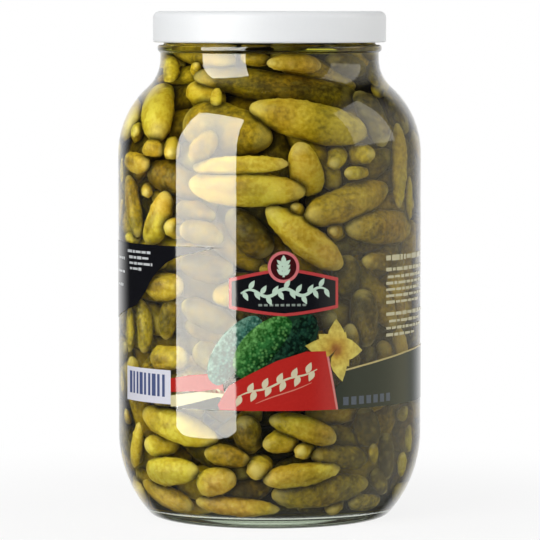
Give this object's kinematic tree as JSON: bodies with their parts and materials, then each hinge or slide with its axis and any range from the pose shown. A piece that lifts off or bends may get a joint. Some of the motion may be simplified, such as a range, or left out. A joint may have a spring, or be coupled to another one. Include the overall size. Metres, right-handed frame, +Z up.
{
  "type": "pickle jar",
  "caption": "Tall wide-mouth glass jar filled with small gherkins in brine, closed by a white twist-off metal lid, with a printed clear label round its middle.",
  "frame": {"origin": "centre of the foot ring, on the surface that the jar stands on", "axes": "+Z up along the jar's axis, the middle of the label's front faces -Y, +X to the right of the front"},
  "size_m": [0.1368, 0.1366, 0.2275],
  "materials": {
    "glass": "clear flint glass, smooth",
    "lid_enamel": "white enamelled tinplate, satin gloss",
    "label_film": "clear film with printed fields of colour",
    "contents": "wet yellow-green gherkins in clear brine"
  },
  "bodies": {
    "root": {"jar": "glass", "lid": "lid_enamel", "label": "label_film", "gherkins_in_brine": "contents"}
  },
  "joints": []
}
